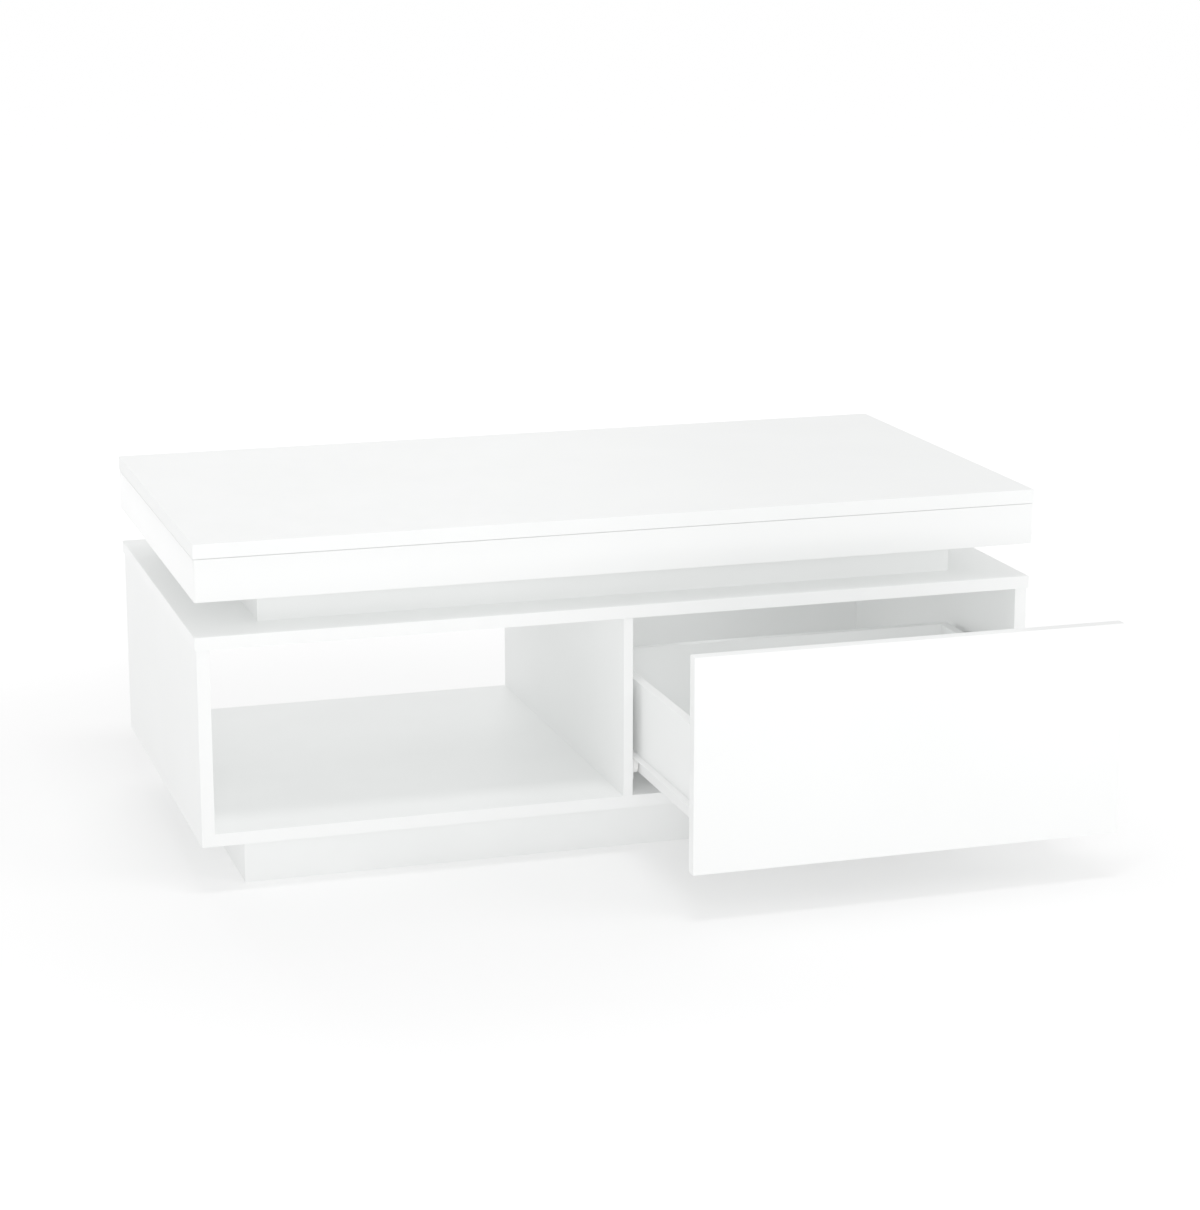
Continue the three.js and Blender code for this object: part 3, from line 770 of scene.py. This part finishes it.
BUMPER_FOOT = 0.97  # radius of the foot, of the bumper's
BUMPER_WALL = 0.15  # height of the straight side, of the bumper's
BUMPER_STEPS = 6
BUMPER_CREASE = 50  # degrees


def make_rollers():
    """Nylon rollers with a hub, a thin web and a rounded tread."""
    for place in ("cabinet", "drawer"):
        for side, _ in SIDES:
            node = f"{place}_roller_{side}"
            low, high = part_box(node)
            width, radius = (high.x - low.x) / MM, (high.z - low.z) / 2 / MM
            hub, rim, nip = ROLLER_HUB, radius - ROLLER_RIM, ROLLER_NIP
            half = width / 2
            web = half - ROLLER_RECESS
            side_loop = [(ROLLER_BORE, half), (hub - nip, half), (hub, half - nip),
                         (hub + ROLLER_SLOPE, web), (rim - ROLLER_SLOPE, web),
                         (rim, half - nip), (rim + nip, half)]
            side_loop += [(radius - inward, half - down) for inward, down in ROLLER_TREAD]
            loop = side_loop + [(radius, 0)] + [(r, -z) for r, z in reversed(side_loop)]
            shape = placed(turned_ring(loop), middle(node), X_AXIS)
            piece = make_piece(f"{node}_wheel", *shape, BODY_OF[node], SLOT_OF[node])
            fix_normals(piece)
            smooth_by_angle(piece)
            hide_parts(node)


def make_bumpers():
    """Domed self-adhesive pads in place of the plain discs."""
    for node, slot in SLOT_OF.items():
        if slot != "clear_pad":
            continue
        low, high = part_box(node)
        size = (high - low) / MM
        along_y = size.y < size.z
        radius = size.x / 2
        height = size.y if along_y else size.z
        profile = [(ON_AXIS, 0), (radius * BUMPER_FOOT, 0), (radius, height * BUMPER_WALL)]
        for step in range(1, BUMPER_STEPS + 1):
            angle = math.pi / 2 * step / BUMPER_STEPS
            rise = BUMPER_WALL + (1 - BUMPER_WALL) * math.sin(angle)
            profile.append((max(radius * math.cos(angle), ON_AXIS), height * rise))
        foot = middle(node)
        if along_y:
            foot.y = high.y  # stuck on the boards behind the drawer front
            way = -Y_AXIS
        else:
            foot.z = low.z
            way = Z_AXIS
        shape = placed(turned(profile), foot, way)
        piece = make_piece(f"{node}_dome", *shape, BODY_OF[node], slot)
        smooth_by_angle(piece, BUMPER_CREASE)
        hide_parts(node)


SPRING_WIRE = 0.8  # radius, as all the spring's measures in millimetres
SPRING_PITCH = 2.0
SPRING_HOOK = 12.0  # from each end to the coil
TAB_HOLE = 2.5  # from the base bracket's front edge to the spring's fixed end
TAB_HOOK_REACH = 5  # from that end to the wire's upright tip
TAB_HOOK_TOP, TAB_HOOK_BEND = 4.5, 1.6  # the tip's height, and the radius of its bend
STEPS_A_TURN = 20
RUN_OUT = 18  # steps over which the wire runs out to the coil's radius
RUN_OUT_FROM = 0.15  # share of that radius where it begins
RUN_OUT_BACK = 2.5  # and how far before the coil
HOOK_RADIUS = 4.1
HOOK_STEPS = 20
HOOK_END = 0.85 * math.pi  # where the wire ends round the peg
PEG_REACH = 2.8  # from the spring's end to the peg's axis


def spring_path(start, end, radius):
    """The wire's path from the tab's hook, through the coil, round the arm's peg, along +Y."""
    peg = end + PEG_REACH
    bend = TAB_HOOK_BEND
    tab = start - TAB_HOOK_REACH
    path = [(tab, TAB_HOOK_TOP), (tab, 3.0), (tab, bend)]
    path += [(start - (TAB_HOOK_REACH - bend) - bend * math.cos(a), bend - bend * math.sin(a))
             for a in spread(0.3, math.pi / 2, 5)]
    points = [Vector((0, y, z)) for y, z in path]
    coil_from, coil_to = start + SPRING_HOOK, peg - SPRING_HOOK
    points += [Vector((0, y, 0)) for y in spread(start, coil_from - 4, 4)]
    turns = round((coil_to - coil_from) / SPRING_PITCH)
    steps = turns * STEPS_A_TURN
    for i in range(steps + 1):
        share = i / steps
        angle = 2 * math.pi * turns * share - math.pi / 2
        reach = radius * min(1.0, RUN_OUT_FROM + i / RUN_OUT)
        y = coil_from - RUN_OUT_BACK * max(0.0, 1 - i / RUN_OUT) + (coil_to - coil_from) * share
        points.append(Vector((reach * math.cos(angle), y, reach * math.sin(angle))))
    for share in spread(0.25, 1, 4):
        drop = radius + (HOOK_RADIUS - radius) * share
        points.append(Vector((0, coil_to + (peg - coil_to) * share * 0.98, -drop)))
    for angle in spread(-math.pi / 2, HOOK_END, HOOK_STEPS)[1:]:
        y, z = peg + HOOK_RADIUS * math.cos(angle), HOOK_RADIUS * math.sin(angle)
        points.append(Vector((0, y, z)))
    return points


def make_springs():
    """Wound extension springs between the base brackets' tabs and the pegs on the rear arms."""
    for side, _ in SIDES:
        node = f"lift_spring_{side}"
        low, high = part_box(node)
        axis_point = Vector((middle(node).x, 0, middle(node).z))
        anchor_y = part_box(f"lift_base_{side}")[0].y / MM + TAB_HOLE
        radius = (high.z - low.z) / 2 / MM - SPRING_WIRE
        path = [axis_point + p * MM for p in spring_path(anchor_y, high.y / MM, radius)]
        shape = tube_along(path, SPRING_WIRE * MM)
        piece = make_piece(f"{node}_coil", *shape, BODY_OF[node], SLOT_OF[node])
        fix_normals(piece)
        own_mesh(piece)
        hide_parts(node)


# ---------------------------------------------------------------- the scene

MATERIALS = make_materials()

make_camera()
make_lights()
make_floor()
dress_cad_nodes()
for board, faces_with_strip in STRIPPED.items():
    for board_face in faces_with_strip:
        edge_strip(board, board_face)
lift_fixings()
slide_fixings()
bottom_fixings()
plinth_fixings()
back_fixings()
make_band_boards()
make_rollers()
make_bumpers()
make_springs()
